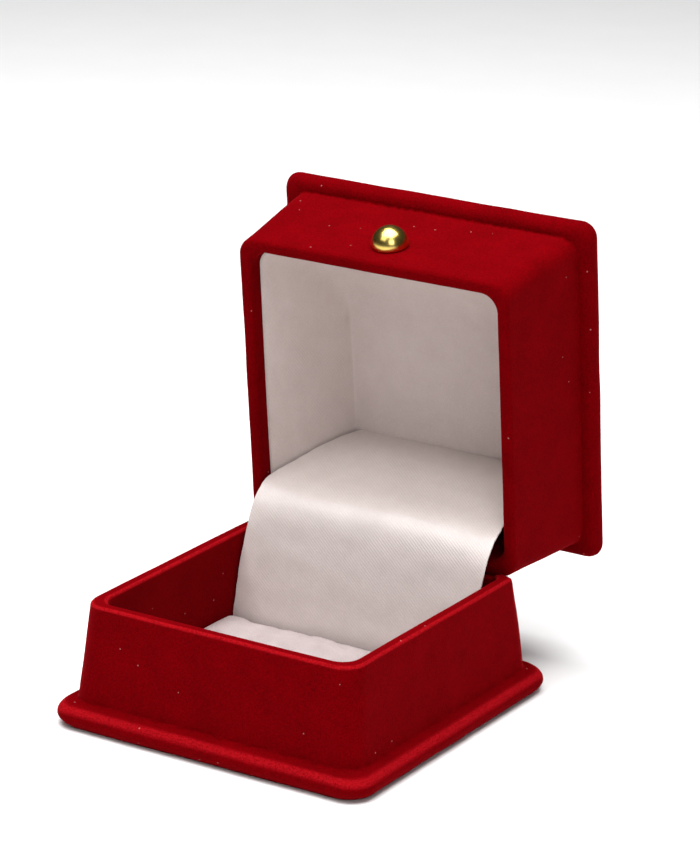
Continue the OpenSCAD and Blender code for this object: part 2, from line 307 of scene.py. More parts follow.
# These are the heights of the painted highlight.
print(f"fibres fan out below {1000 * bead_share * base_h:.1f} mm",
      f"and above {1000 * rim_share * base_h:.1f} mm")

# %% [markdown]
# The surface collects pale specks of lint. A Voronoi pattern gives scattered places,
# and only some of its cells hold a speck.

# %% Lint
LINT = 1.9 * MM        # mean spacing of the places where a speck of lint may sit
EMPTY_CELLS = 0.79     # the share of them that hold none
SPECK = 0.07           # a speck's radius, as a share of the spacing
SPECK_OPACITY = 0.24


def linted(material, place, red):
    """The red with a few small pale specks on it."""
    cells = add_node(material, "ShaderNodeTexVoronoi", {"Vector": place}, Scale=1 / LINT, Randomness=1.0)
    chosen = add_node(material, "ShaderNodeSeparateColor", {"Color": cells.outputs["Color"]})
    is_lint = add_node(material, "ShaderNodeMath", {0: chosen.outputs["Red"]}, operation="GREATER_THAN")
    is_lint.inputs[1].default_value = EMPTY_CELLS
    speck = add_node(material, "ShaderNodeMath", {0: cells.outputs["Distance"]}, operation="LESS_THAN")
    speck.inputs[1].default_value = SPECK
    faded = add_node(material, "ShaderNodeMath", operation="MULTIPLY",
                     links={0: multiplied(material, is_lint.outputs[0], speck.outputs[0])})
    faded.inputs[1].default_value = SPECK_OPACITY
    coloured = add_node(material, "ShaderNodeMix", {"Factor": faded.outputs[0], 6: red}, data_type="RGBA")
    coloured.inputs[7].default_value = srgb("#e8a9a4")
    return coloured.outputs[2]


print(f"one lint speck in {1 / (1 - EMPTY_CELLS):.0f} cells of {1000 * LINT:.1f} mm")

# %% [markdown]
# Nylon's IOR is about 1.53, but the gaps between the fibres swallow the gloss, so the
# specular level is low and the roughness is close to 1.

# %% Red flock
def flocked_nylon(name, dark, light, heights=None):
    material, shader = new_material(name)
    place = add_node(material, "ShaderNodeTexCoord").outputs["Object"]
    patches = add_node(material, "ShaderNodeTexNoise", {"Vector": place},
                       Scale=1 / PATCH, Detail=3.0, Roughness=0.55)
    tufts = add_node(material, "ShaderNodeTexNoise", {"Vector": place},
                     Scale=1 / PILE, Detail=2.0, Roughness=0.7)
    mixed = add_node(material, "ShaderNodeMix", {2: patches.outputs["Fac"], 3: tufts.outputs["Fac"]},
                     data_type="FLOAT", Factor=0.72)
    red = colour_ramp(material, mixed.outputs[0], [(0.34, srgb(dark)), (0.66, srgb(light))])
    # Where heights are given, a painted highlight with painted glints is mixed into the red.
    if heights:
        red = painted_highlight(material, place, red, heights)
    fuzz = add_node(material, "ShaderNodeBump", {"Height": tufts.outputs["Fac"]}, Strength=0.55)
    fuzz.inputs["Distance"].default_value = 0.12 * MM
    links = material.node_tree.links
    links.new(linted(material, place, red), shader.inputs["Base Color"])
    links.new(fuzz.outputs["Normal"], shader.inputs["Normal"])
    shader.inputs["Roughness"].default_value = 0.95
    shader.inputs["IOR"].default_value = 1.53
    shader.inputs["Specular IOR Level"].default_value = 0.01
    shader.inputs["Sheen Weight"].default_value = 0.30
    shader.inputs["Sheen Roughness"].default_value = 0.38
    shader.inputs["Sheen Tint"].default_value = srgb("#e6262f")
    return material


lid_flock = flocked_nylon("lid_flock", "#560003", "#700005")
# Only the base's flock has the painted highlight on its bead and rim.
base_flock = flocked_nylon("base_flock", "#560003", "#700005", highlight_heights)
print("made", lid_flock.name, base_flock.name)

# %% [markdown]
# ## White satin and its backing card
#
# Satin is woven with long floats, so light slides along the threads: it has a soft
# stripe of gloss across the weave and fine diagonal lines where the floats step. The
# box uses an off-white polyester satin, about 30 threads to the centimetre, shiny over
# the flap and duller where it is glued to the lining's card, which flattens its floats.
# Polyester's IOR is about 1.55.

# %% White satin
THREAD = 0.48 * MM                  # spacing of the twill lines
YARN = 0.25 * MM                    # slight thick and thin places in the yarns
WAVE_SCALE = 10 * math.sqrt(2)      # the wave node's own factors: ten, and its diagonal


def woven_satin(name, shade, light, roughness, sheen, line_depth, seed, specular=0.5):
    material, shader = new_material(name)
    place = add_node(material, "ShaderNodeTexCoord").outputs["Object"]
    mottle = add_node(material, "ShaderNodeTexNoise", {"Vector": place},
                      noise_dimensions="4D", W=seed, Scale=1 / (3.5 * MM), Detail=3.0, Roughness=0.6)
    threads = add_node(material, "ShaderNodeTexNoise", {"Vector": place},
                       Scale=1 / YARN, Detail=1.0, Roughness=0.5)
    twill = add_node(material, "ShaderNodeTexWave", {"Vector": place},
                     wave_type="BANDS", bands_direction="DIAGONAL",
                     Scale=2 * math.pi / (WAVE_SCALE * THREAD), Distortion=0.5, Detail=1.0)
    white = colour_ramp(material, mottle.outputs["Fac"], [(0.3, srgb(shade)), (0.7, srgb(light))])
    woven = add_node(material, "ShaderNodeMix", {"Factor": threads.outputs["Fac"], 6: white},
                     data_type="RGBA", blend_type="MULTIPLY")
    woven.inputs[7].default_value = srgb("#efe6e6")
    height = add_node(material, "ShaderNodeMath",
                      {0: twill.outputs["Fac"], 1: threads.outputs["Fac"]}, operation="ADD")
    weave = add_node(material, "ShaderNodeBump", {"Height": height.outputs[0]}, Strength=0.5)
    weave.inputs["Distance"].default_value = line_depth
    links = material.node_tree.links
    links.new(woven.outputs[2], shader.inputs["Base Color"])
    links.new(weave.outputs["Normal"], shader.inputs["Normal"])
    shader.inputs["Roughness"].default_value = roughness
    shader.inputs["IOR"].default_value = 1.55
    shader.inputs["Specular IOR Level"].default_value = specular
    shader.inputs["Sheen Weight"].default_value = sheen
    shader.inputs["Sheen Roughness"].default_value = 0.4
    shader.inputs["Sheen Tint"].default_value = srgb("#fff1ec")
    return material


lining_satin = woven_satin("lining_satin", "#cec3be", "#d4cac5", 0.75, 0.08, 0.02 * MM, 1.0, 0.25)
flap_satin = woven_satin("flap_satin", "#c6beba", "#cec6c2", 0.32, 0.08, 0.028 * MM, 2.0, 1.0)
# The pad's satin is the same satin made darker: painted shade for the pad, low in the base.
shaded_pad_satin = woven_satin("shaded_pad_satin", "#a89e9d", "#b6acab", 0.50, 0.10, 0.035 * MM, 3.0, 0.4)
print("made", lining_satin.name, flap_satin.name, shaded_pad_satin.name)

# %% [markdown]
# ## Metals
#
# The stud is pressed brass, polished and gilt, so it is a smooth yellow mirror. The
# hinge is plain stamped sheet brass, with rolling marks and a duller, browner face.
# The pin, spring and washer are bright-drawn steel. A metal keeps the default IOR.

# %% Metals
def worked_metal(name, dull, bright, roughness, grain, grain_depth, stretch=(1, 1, 1)):
    material, shader = new_material(name)
    place = add_node(material, "ShaderNodeTexCoord").outputs["Object"]
    pulled = add_node(material, "ShaderNodeMapping", {"Vector": place})
    pulled.inputs["Scale"].default_value = stretch
    marks = add_node(material, "ShaderNodeTexNoise", {"Vector": pulled.outputs["Vector"]},
                     Scale=1 / grain, Detail=4.0, Roughness=0.6)
    colour = colour_ramp(material, marks.outputs["Fac"], [(0.3, srgb(dull)), (0.7, srgb(bright))])
    polish = add_node(material, "ShaderNodeMapRange", {"Value": marks.outputs["Fac"]},
                      To_Min=roughness * 0.7, To_Max=roughness * 1.3)
    dents = add_node(material, "ShaderNodeBump", {"Height": marks.outputs["Fac"]}, Strength=0.4)
    dents.inputs["Distance"].default_value = grain_depth
    links = material.node_tree.links
    links.new(colour, shader.inputs["Base Color"])
    links.new(polish.outputs["Result"], shader.inputs["Roughness"])
    links.new(dents.outputs["Normal"], shader.inputs["Normal"])
    shader.inputs["Metallic"].default_value = 1.0
    return material


along_x = (0.15, 1, 1)      # rolling and drawing pull the marks out along the sheet or wire
gilt_brass = worked_metal("gilt_brass", "#d9b54a", "#ead07c", 0.23, 2.5 * MM, 0.05 * MM)
stamped_brass = worked_metal("stamped_brass", "#a8843f", "#c9a95e", 0.34, 0.5 * MM, 0.02 * MM, along_x)
drawn_steel = worked_metal("drawn_steel", "#8d8c89", "#b7b6b2", 0.30, 0.4 * MM, 0.015 * MM, along_x)
print("made", gilt_brass.name, stamped_brass.name, drawn_steel.name)

# %% [markdown]
# ## Covered card, plain card and foam
#
# The underside is closed with a card covered in red grained paper, pressed with a fine
# pebble so that it doesn't show scratches. The pad stands on a plain white card, and
# soft open-cell foam fills the pad and the space behind the lining.

# %% Paper, card and foam
def pebbled_paper(name, dark, light):
    material, shader = new_material(name)
    place = add_node(material, "ShaderNodeTexCoord").outputs["Object"]
    pebbles = add_node(material, "ShaderNodeTexVoronoi", {"Vector": place},
                       feature="SMOOTH_F1", Scale=1 / (0.7 * MM), Smoothness=0.6)
    scuffs = add_node(material, "ShaderNodeTexNoise", {"Vector": place},
                      Scale=1 / (9 * MM), Detail=5.0, Roughness=0.6)
    colour = colour_ramp(material, scuffs.outputs["Fac"], [(0.3, srgb(dark)), (0.75, srgb(light))])
    grain = add_node(material, "ShaderNodeBump", {"Height": pebbles.outputs["Distance"]},
                     Strength=0.6, invert=True)
    grain.inputs["Distance"].default_value = 0.12 * MM
    links = material.node_tree.links
    links.new(colour, shader.inputs["Base Color"])
    links.new(grain.outputs["Normal"], shader.inputs["Normal"])
    shader.inputs["Roughness"].default_value = 0.62
    shader.inputs["IOR"].default_value = 1.5
    return material


def plain_fibre(name, dark, light, cell, depth):
    """Card or foam: small cells or fibres in an even, matt, off-white face."""
    material, shader = new_material(name)
    place = add_node(material, "ShaderNodeTexCoord").outputs["Object"]
    cells = add_node(material, "ShaderNodeTexNoise", {"Vector": place},
                     Scale=1 / cell, Detail=3.0, Roughness=0.65)
    colour = colour_ramp(material, cells.outputs["Fac"], [(0.3, srgb(dark)), (0.7, srgb(light))])
    rough = add_node(material, "ShaderNodeBump", {"Height": cells.outputs["Fac"]}, Strength=0.6)
    rough.inputs["Distance"].default_value = depth
    links = material.node_tree.links
    links.new(colour, shader.inputs["Base Color"])
    links.new(rough.outputs["Normal"], shader.inputs["Normal"])
    shader.inputs["Roughness"].default_value = 0.9
    shader.inputs["IOR"].default_value = 1.5
    return material


red_paper = pebbled_paper("red_paper", "#5a070d", "#74101a")
white_card = plain_fibre("white_card", "#dcd6cc", "#ebe6dd", 0.5 * MM, 0.03 * MM)
pale_foam = plain_fibre("pale_foam", "#e6dcc8", "#f4ecdc", 0.6 * MM, 0.2 * MM)
print("made", red_paper.name, white_card.name, pale_foam.name)

# %% [markdown]
# ## The two flocked shells
#
# Each half is a vacuum-formed shell with a fat half-round bead at its flat end and
# walls that narrow a little towards the rim. The flock softens every edge. One
# outline, swept round a rounded square, makes either half: out over the bead, up the
# wall, over the rim and down the inside. The bead is tucked in below its widest line,
# so only its middle stands proud.

# %% Outline of a half
def half_outline(height, bead_r, bead_out, bead_corner, corner_r, flare, floor_z, plate_half, plate_t):
    """Rows of [out past the rim, height, corner radius, how much it may wander]."""
    bead_c = bead_out - bead_r
    fillet = bead_c - flare
    rise = np.linspace(0, 1, 11)[:-1]
    under = np.stack([bead_out - bead_tuck * (1 - rise) ** 2, bead_r * rise], 1)
    over = arc([bead_c, bead_r], bead_r, 0, 90, 12)
    hollow = arc([bead_c, 2 * bead_r + fillet], fillet, 262, 180, 8)
    wall_top = arc([-rim_edge, height - rim_edge], rim_edge, 0, 90, 7)
    rises = np.linspace(0, 1, 26)[1:-1, None]
    wall_line = hollow[-1] + (wall_top[0] - hollow[-1]) * rises
    rim_in = arc([rim_edge - wall, height - rim_edge], rim_edge, 90, 180, 7)
    drops = np.linspace(0, 1, 12)[1:, None]
    inner_line = rim_in[-1] + (np.array([-wall, floor_z]) - rim_in[-1]) * drops
    recess = plate_half - rim_half
    rows = []
    if plate_t > 0:
        rows += [[recess, plate_t, corner_r, 0], [recess, 0, corner_r, 0]]
    else:
        across = np.linspace(-0.9 * rim_half, bead_out - bead_tuck, 24)[:-1]
        rows += [[x, 0, bead_corner, 0.5] for x in across]
    for p in [*under, *over, *hollow, *wall_line, *wall_top]:
        share = max(p[0] - flare, 0) / (bead_out - flare)
        rows.append([p[0], p[1], corner_r + share * (bead_corner - corner_r), 1])
    for p in rim_in:
        rows.append([p[0], p[1], inner_r, 0.4])
    for p in inner_line:
        rows.append([p[0], p[1], inner_r, 0])
    return rows


# %% [markdown]
# A ring of the sweep has many points on its straight sides as well as its corners, so
# that the slow unevenness of the moulding can be modelled.

# %% Ring of a half
def swept_ring(out, z, radius, corner_steps=14, side_steps=76):
    """Points of a rounded square at height z, standing out past the rims by out."""
    half = rim_half + out
    radius = min(radius, half * 0.98)
    ring = []
    for quarter in range(4):
        start = math.pi / 2 * quarter
        side = (1 if quarter in (0, 3) else -1, 1 if quarter < 2 else -1)
        for i in range(corner_steps):
            a = start + math.pi / 2 * i / corner_steps
            ring.append([side[0] * (half - radius) + radius * math.cos(a),
                         side[1] * (half - radius) + radius * math.sin(a), z])
        a = start + math.pi / 2
        here = np.array([side[0] * (half - radius) + radius * math.cos(a),
                         side[1] * (half - radius) + radius * math.sin(a), z])
        next_side = (1 if (quarter + 1) % 4 in (0, 3) else -1, 1 if (quarter + 1) % 4 < 2 else -1)
        there = np.array([next_side[0] * (half - radius) + radius * math.cos(a),
                          next_side[1] * (half - radius) + radius * math.sin(a), z])
        for i in range(side_steps):
            ring.append(list(here + (there - here) * i / side_steps))
    return ring


# %% [markdown]
# The lid's rear wall is notched in the middle, where the hinge's barrel lies, and the
# whole rear rim of the base sits a millimetre low so that the lid's edge can pass it.
# Flock rounds such steps, so the rim is lowered smoothly and not cut.

# %% Lowering a rim towards its hinge
barrel_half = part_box("hinge_pin")[1].x + 0.6 * MM


def lowered(points, height, depth, x_half, y_from):
    """Lowers the rim by depth where |x| < x_half and y > y_from, and fades down the wall."""
    x, y, z = points.T
    across = 1 - smoothstep(np.abs(x), x_half, x_half + 0.7 * MM)
    behind = smoothstep(y, y_from - 0.3 * MM, y_from + 0.3 * MM)
    up = smoothstep(z, height - 9 * MM, height - 2 * MM)
    moved = points.copy()
    moved[:, 2] -= depth * across * behind * up
    return moved


# %% [markdown]
# The flock's thickness wanders, so the shell's outside is pushed in and out by about a
# tenth of a millimetre. In the groove over a bead, where the glue gathers, it is rougher.

# %% Points and faces of a shell
CREASE = 0.15 * MM     # how rough the groove between a wall and its bead is
UNEVEN = 0.09 * MM     # how far the moulding and its flock wander


def shell_points(rows, seed, groove_z):
    rings = [swept_ring(*row[:3]) for row in rows]
    columns = len(rings[0])
    points = np.array([p for ring in rings for p in ring])
    near_groove = np.exp(-((points[:, 2] - groove_z) / (0.5 * MM)) ** 2)
    share = np.repeat([row[3] for row in rows], columns)
    outward = points * [1, 1, 0]
    outward /= np.maximum(np.linalg.norm(outward, axis=1), 1e-9)[:, None]
    slow, quick = waviness(points, 19 * MM, seed), waviness(points, 5 * MM, seed + 1)
    shift = UNEVEN * share * (0.85 * slow + 0.15 * quick)
    shift += CREASE * (share == 1) * near_groove * waviness(points, 1.4 * MM, seed + 2)
    return points + outward * shift[:, None], len(rings), columns


def shell_faces(rings, columns):
    caps = [tuple(range(columns)), tuple((rings - 1) * columns + i for i in range(columns))]
    return grid_faces(rings, columns, around=True) + caps


# %% [markdown]
# The base's outline starts at the recess for the card under it and ends on the inside
# at the floor that the pad stands on.

# %% Base shell
plate_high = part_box("base_plate")[1]
floor_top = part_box("pad_card")[0].z
rows = half_outline(base_h, base_bead_r, base_bead_out, base_bead_corner, base_corner_r,
                    base_flare, floor_top, plate_high.x + 0.1 * MM, plate_high.z)
points, rings, columns = shell_points(rows, 11, 2.15 * base_bead_r)
points = lowered(points, base_h, rear_step, rim_half * 2, hinge.y - 0.9 * MM)
flocked_base = make_piece("flocked_base", points, shell_faces(rings, columns), base_flock)
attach(flocked_base, "base")
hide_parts("base_shell")
print("flocked_base:", len(flocked_base.data.vertices), "points")

# %% [markdown]
# The lid is the same form with its flat end closed, drawn upside down over the base.

# %% Lid shell
lid_roof = 1.7 * MM
rows = half_outline(lid_h, lid_bead_r, lid_bead_out, lid_bead_corner, lid_corner_r,
                    lid_flare, lid_roof, 0, 0)
points, rings, columns = shell_points(rows, 23, 2.0 * lid_bead_r)
points = lowered(points, lid_h, 2.0 * MM, barrel_half, inner_half - 0.4 * MM)
points[:, 2] = top_z - points[:, 2]
flocked_lid = make_piece("flocked_lid", opened(points), shell_faces(rings, columns), lid_flock)
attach(flocked_lid, "lid")
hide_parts("lid_shell")
print("flocked_lid:", len(flocked_lid.data.vertices), "points")

# %% [markdown]
# ## The lid's lining
#
# The lining is thin card faced with satin. One bent piece runs from behind the front
# rim in a wide curve into the roof, and a leaning piece closes it at each side. The
# satin is glued over all three, so no gap shows: the joints are soft creases, with a
# small pucker where the curve, the roof and a side meet.
#
# It is modelled as one skin of U-shaped rows, from the rim to the middle of the roof.
# A row's side parts lie on the leaning sides and its front part on the curve, so the
# rounded corners of the U are the soft joints between them.

# %% Lining measures
lining_face = 22.37 * MM           # the lining's face at the rim, from the middle
lining_foot = rim_z + 2.6 * MM
roof_z = top_z - 3.5 * MM
cove_r = roof_z - lining_foot - 0.5 * MM
cove_y = cove_r - lining_face
cove_z = roof_z - cove_r
side_lean = 5.6 * MM
rear_y = 18.6 * MM
lining_t = 0.4 * MM


def side_at(z):
    """How far the leaning side's face stands from the middle at height z."""
    return lining_face - side_lean * (z - lining_foot) / (roof_z - lining_foot)


print(f"the lining is {1000 * (roof_z - lining_foot):.1f} mm deep, curved at {1000 * cove_r:.1f} mm")


# %% [markdown]
# Each row runs from the left rear, round the front, to the right rear. Rows climb the
# front wall and the curve to the roof, and there they close in on its middle.

# %% Rows of the lining
def u_row(half, front_y, z, corner, side_count=44, corner_count=12, front_count=60):
    """A U of points from the left rear, round the front, to the right rear."""
    corner = min(corner, half * 0.98)
    left = [[-half, y, z] for y in np.linspace(rear_y, front_y + corner, side_count)]
    bend_l = arc([corner - half, front_y + corner], corner, 180, 270, corner_count)[1:-1]
    front = [[x, front_y, z] for x in np.linspace(corner - half, half - corner, front_count)]
    bend_r = arc([half - corner, front_y + corner], corner, 270, 360, corner_count)[1:-1]
    right = [[half, y, z] for y in np.linspace(front_y + corner, rear_y, side_count)]
    return [*left, *[[*p, z] for p in bend_l], *front, *[[*p, z] for p in bend_r], *right]


def lining_rows():
    rows = []
    for z in np.linspace(lining_foot, cove_z, 5)[:-1]:
        rows.append(u_row(side_at(z), -lining_face, z, inner_r))
    for angle in np.linspace(180, 90, 64):
        y = cove_y + cove_r * math.cos(math.radians(angle))
        z = cove_z + cove_r * math.sin(math.radians(angle))
        softer = inner_r * (0.9 + 0.6 * math.sin(math.radians(2 * (angle - 90))))
        rows.append(u_row(side_at(z), y, z, softer))
    last_half, last_y = side_at(roof_z), cove_y
    for share in np.linspace(0, 1, 40)[1:]:
        half = last_half * (1 - share) + 0.4 * MM * share
        rows.append(u_row(half, last_y + (rear_y - 0.4 * MM - last_y) * share, roof_z,
                          0.9 * inner_r * (1 - share) + 0.1 * MM * share))
    return rows


# %% [markdown]
# Glued cloth can't follow a sharp fold, so the whole skin is smoothed: each point slides
# a little towards the average of its four neighbours, many times over. Flat parts
# don't change, and the folds become soft creases.

# %% Soften the folds
def relaxed(points, rows, columns, rounds):
    """Slides each point of a grid towards its neighbours; the borders stay."""
    grid = points.reshape(rows, columns, 3).copy()
    for _ in range(rounds):
        middle_way = (grid[:-2, 1:-1] + grid[2:, 1:-1] + grid[1:-1, :-2] + grid[1:-1, 2:]) / 4
        grid[1:-1, 1:-1] += 0.8 * (middle_way - grid[1:-1, 1:-1])
    return grid.reshape(-1, 3)


rows = lining_rows()
columns = len(rows[0])
face = relaxed(np.array([p for row in rows for p in row]), len(rows), columns, 24)
print("the lining has", len(rows), "rows of", columns, "points")

# %% [markdown]
# The card under the satin isn't dead flat either, and the satin is pinched where the
# curve, the roof and a side meet. Both are shifts towards or away from the middle.

# %% Unevenness and puckers
centre_way = np.array([0, 4 * MM, 26 * MM]) - face
centre_way /= np.linalg.norm(centre_way, axis=1)[:, None]
away_from_rim = smoothstep(face[:, 2], lining_foot, lining_foot + 4 * MM)
face += centre_way * (0.10 * MM * away_from_rim * waviness(face, 11 * MM, 31))[:, None]
for side in (-1, 1):
    corner_at = np.array([side * (side_at(roof_z) - 0.2 * MM), cove_y + 0.2 * MM, roof_z - 0.4 * MM])
    pucker = face[np.argmin(np.linalg.norm(face - corner_at, axis=1))]
    spread = np.linalg.norm(face - pucker, axis=1)
    face -= centre_way * (0.45 * MM * np.exp(-(spread / (0.8 * MM)) ** 2))[:, None]
print("puckered at both ends of the curve")

# %% [markdown]
# The skin gets a back, one card's thickness behind its face, and its borders are closed.
# The satin and its card are cut flat as a T: the panel, with a side folded down at each
# edge.

# %% Lining piece
back = face - centre_way * lining_t
count = len(face)
faces = grid_faces(len(rows), columns)
faces += [tuple(count + i for i in reversed(f)) for f in grid_faces(len(rows), columns)]
rim_line = list(range(columns))
rear_left = [r * columns for r in range(len(rows))]
rear_right = [r * columns + columns - 1 for r in range(len(rows))]
last_row = [(len(rows) - 1) * columns + i for i in range(columns)]
for edge in (rim_line, rear_left, rear_right, last_row):
    faces += [(a, b, count + b, count + a) for a, b in zip(edge, edge[1:])]
lid_lining = make_piece("lid_lining", opened(np.vstack([face, back])), faces, lining_satin, 50)
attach(lid_lining, "lid")
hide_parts("lid_lining_panel", "lid_lining_left", "lid_lining_right")
print("lid_lining:", len(lid_lining.data.vertices), "points")

# %% [markdown]
# ## The satin flap
#
# The flap hides the hinge. It is a loose strip of satin, tucked behind the pad at one
# end and glued under the lid's roof at the other, and it bulges forward over the barrel
# when the lid is open. It is drawn along the same route as the CAD's simple strip,
# through a smooth curve. It narrows towards its glued end in the lid.

# %% Route of the flap
flap_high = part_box("satin_flap")[1]
flap_half = flap_high.x + 0.25 * MM
flap_far_half = 16.0 * MM
flap_t = 0.22 * MM
pad_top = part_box("pad_cover")[1].z
route = MM * np.array([
    [13.6, 3.6], [13.4, 7.2], [14.2, 11.4], [15.3, 15.6], [16.7, 19.6], [18.2, 23.0],
    [20.0, 25.5], [22.5, 27.3], [25.0, 28.1], [27.6, 28.7], [30.6, 29.6], [35.2, 30.9], [41.4, 31.7]])


def smooth_route(knots, count):
    """A Catmull-Rom curve through the knots, sampled at even steps."""
    padded = np.vstack([2 * knots[0] - knots[1], knots, 2 * knots[-1] - knots[-2]])
    curve = []
    for i in range(len(knots) - 1):
        p0, p1, p2, p3 = padded[i:i + 4]
        for t in np.linspace(0, 1, 24, endpoint=False):
            curve.append(0.5 * (2 * p1 + (p2 - p0) * t + (2 * p0 - 5 * p1 + 4 * p2 - p3) * t ** 2
                                + (3 * p1 - p0 - 3 * p2 + p3) * t ** 3))
    curve = np.array(curve + [knots[-1]])
    length = np.concatenate([[0], np.cumsum(np.linalg.norm(np.diff(curve, axis=0), axis=1))])
    even = np.linspace(0, length[-1], count)
    return np.stack([np.interp(even, length, curve[:, k]) for k in (0, 1)], 1), length[-1]


flap_rows, flap_columns = 130, 110
line, flap_length = smooth_route(route, flap_rows)
print(f"the flap's route is {1000 * flap_length:.1f} mm long")

# %% [markdown]
# Cloth that isn't pulled tight has small ripples, and none where it is held. Its edges
# fray a little, so they wander.

# %% Face of the flap
step = np.gradient(line, axis=0)
step /= np.linalg.norm(step, axis=1)[:, None]
normal = np.stack([step[:, 1], -step[:, 0]], 1)
lid_y = 22.5 * MM
narrowing = np.clip((line[:, 0] - lid_y) / (route[-1, 0] - lid_y), 0, 1) ** 1.15
half_width = flap_half - (flap_half - flap_far_half) * narrowing
across = np.linspace(-1, 1, flap_columns)
front = np.array([
    [u * half_width[k], line[k, 0], line[k, 1]]
    for k in range(flap_rows)
    for u in across
])
along = np.repeat(np.linspace(0, 1, flap_rows), flap_columns)
normals = np.repeat(np.c_[np.zeros(flap_rows), normal], flap_columns, axis=0)
side = np.tile(across, flap_rows)
held = smoothstep(along, 0.0, 0.15) * (1 - smoothstep(along, 0.9, 1.0))
ripple = waviness(front * [0.3, 1.0, 1.0], 9 * MM, 41)
front += normals * (-0.10 * MM * held * ripple)[:, None]
front[:, 0] += 0.12 * MM * waviness(front, 4 * MM, 43) * np.abs(side) ** 8
print(f"the flap narrows from {2000 * flap_half:.1f} to {2000 * flap_far_half:.1f} mm")

# %% [markdown]
# The flap's lower end stays with the base and its upper end goes with the lid. Here it is
# drawn as it lies at rest and is attached to neither.

# %% Flap piece
behind = front + normals * flap_t
count = len(front)
faces = grid_faces(flap_rows, flap_columns)
faces += [tuple(count + i for i in reversed(f)) for f in grid_faces(flap_rows, flap_columns)]
last_start = (flap_rows - 1) * flap_columns
for edge in (list(range(flap_columns)), [last_start + i for i in range(flap_columns)],
             [r * flap_columns for r in range(flap_rows)],
             [r * flap_columns + flap_columns - 1 for r in range(flap_rows)]):
    faces += [(a, b, count + b, count + a) for a, b in zip(edge, edge[1:])]
hinge_flap = make_piece("hinge_flap", np.vstack([front, behind]), faces, flap_satin, 60)
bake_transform(hinge_flap)
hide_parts("satin_flap")
print(f"hinge_flap: {1000 * flap_length:.1f} mm long, {2000 * flap_half:.1f} mm wide")

# %% [markdown]
# ## The ring pad
#
# The pad is two rolls of foam under one satin cover, with a slot between them that
# grips a ring's band. Satin over foam swells between the places that hold it, so the
# pad starts as a slightly small closed form with the slot already in it.

# %% Pad before it swells
pad_low, pad_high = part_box("pad_cover")
slot_y = 1.0 * MM
slot_w = 1.3 * MM
pad_shrink = 0.35 * MM


def pad_outline():
    """The pad from its side, in y and z: two rolls with the slot between them."""
    y0, y1 = pad_low.y + pad_shrink, pad_high.y + 0.25 * MM - pad_shrink
    z0, z1 = pad_low.z, pad_high.z - pad_shrink
    lip = 1.9 * MM
    near, far = slot_y - slot_w / 2, slot_y + slot_w / 2
    slot_floor = z0 + 0.7 * MM
    return np.vstack([
        [[y0, z0], [y1, z0]],
        arc([y1 - lip, z1 - lip], lip, 0, 90, 8),
        arc([far + lip, z1 - lip], lip, 90, 180, 8),
        [[far, slot_floor], [near, slot_floor]],
        arc([near - lip, z1 - lip], lip, 0, 90, 8),
        arc([y0 + lip, z1 - lip], lip, 90, 180, 8),
    ])


outline = pad_outline()
pad_half = pad_high.x - pad_shrink
pad_points = np.vstack([np.c_[np.full(len(outline), s * pad_half), outline] for s in (-1, 1)])
n = len(outline)
pad_faces = [tuple(range(n)), tuple(range(n, 2 * n))]
pad_faces += [(i, (i + 1) % n, n + (i + 1) % n, n + i) for i in range(n)]
# The pad is covered in the darker satin, which carries its painted shade.
ring_pad = make_piece("ring_pad", pad_points, pad_faces, shaded_pad_satin, 180)
print("ring_pad: drawn from", n, "outline points")


# %% [markdown]
# It is remeshed to even squares and blown up by a short cloth simulation. No point may
# move more than the cap, which keeps the pad inside its compartment.

# %% Cloth tools
def remeshed(piece, voxel):
    modifier = piece.modifiers.new("even_squares", "REMESH")
    modifier.mode = "VOXEL"
    modifier.voxel_size = voxel
    apply_modifiers(piece)


def apply_modifiers(piece):
    graph = bpy.context.evaluated_depsgraph_get()
    graph.update()
    mesh = bpy.data.meshes.new_from_object(piece.evaluated_get(graph))
    materials = list(piece.data.materials)
    piece.modifiers.clear()
    piece.data = mesh
    if not mesh.materials:
        for material in materials:
            mesh.materials.append(material)


def swollen(piece, pressure, cap, frames=20):
    """Blows the piece up like a cushion, then limits how far each point has moved."""
    start = np.array([v.co for v in piece.data.vertices])
    cloth = piece.modifiers.new("cover", "CLOTH")
    cloth.settings.use_pressure = True
    cloth.settings.uniform_pressure_force = pressure
    cloth.settings.quality = 6
    cloth.settings.mass = 0.15
    cloth.settings.tension_stiffness = 12
    cloth.settings.compression_stiffness = 12
    cloth.settings.bending_stiffness = 0.3
    cloth.settings.effector_weights.gravity = 0
    cloth.collision_settings.use_collision = False
    for number in range(1, frames + 1):
        bpy.context.scene.frame_set(number)
    apply_modifiers(piece)
    end = np.array([v.co for v in piece.data.vertices])
    bpy.context.scene.frame_set(1)
    move = end - start
    size = np.linalg.norm(move, axis=1)
    limited = start + move * (np.minimum(size, cap) / np.maximum(size, 1e-12))[:, None]
    piece.data.vertices.foreach_set("co", limited.astype(np.float32).ravel())
    piece.data.update()
    return size.max()


# %% [markdown]
# The pressure is low and the cap small, because the pad is thin and nearly full already.

# %% Swell the pad
remeshed(ring_pad, 0.45 * MM)
print(f"ring_pad: a point would move {1000 * swollen(ring_pad, 4.0, 0.45 * MM):.2f} mm at most")

# %% [markdown]
# The satin over the pad isn't stretched tight: it has a few long soft folds that run
# towards the slot, and it dips where the foam under it is glued to the card.

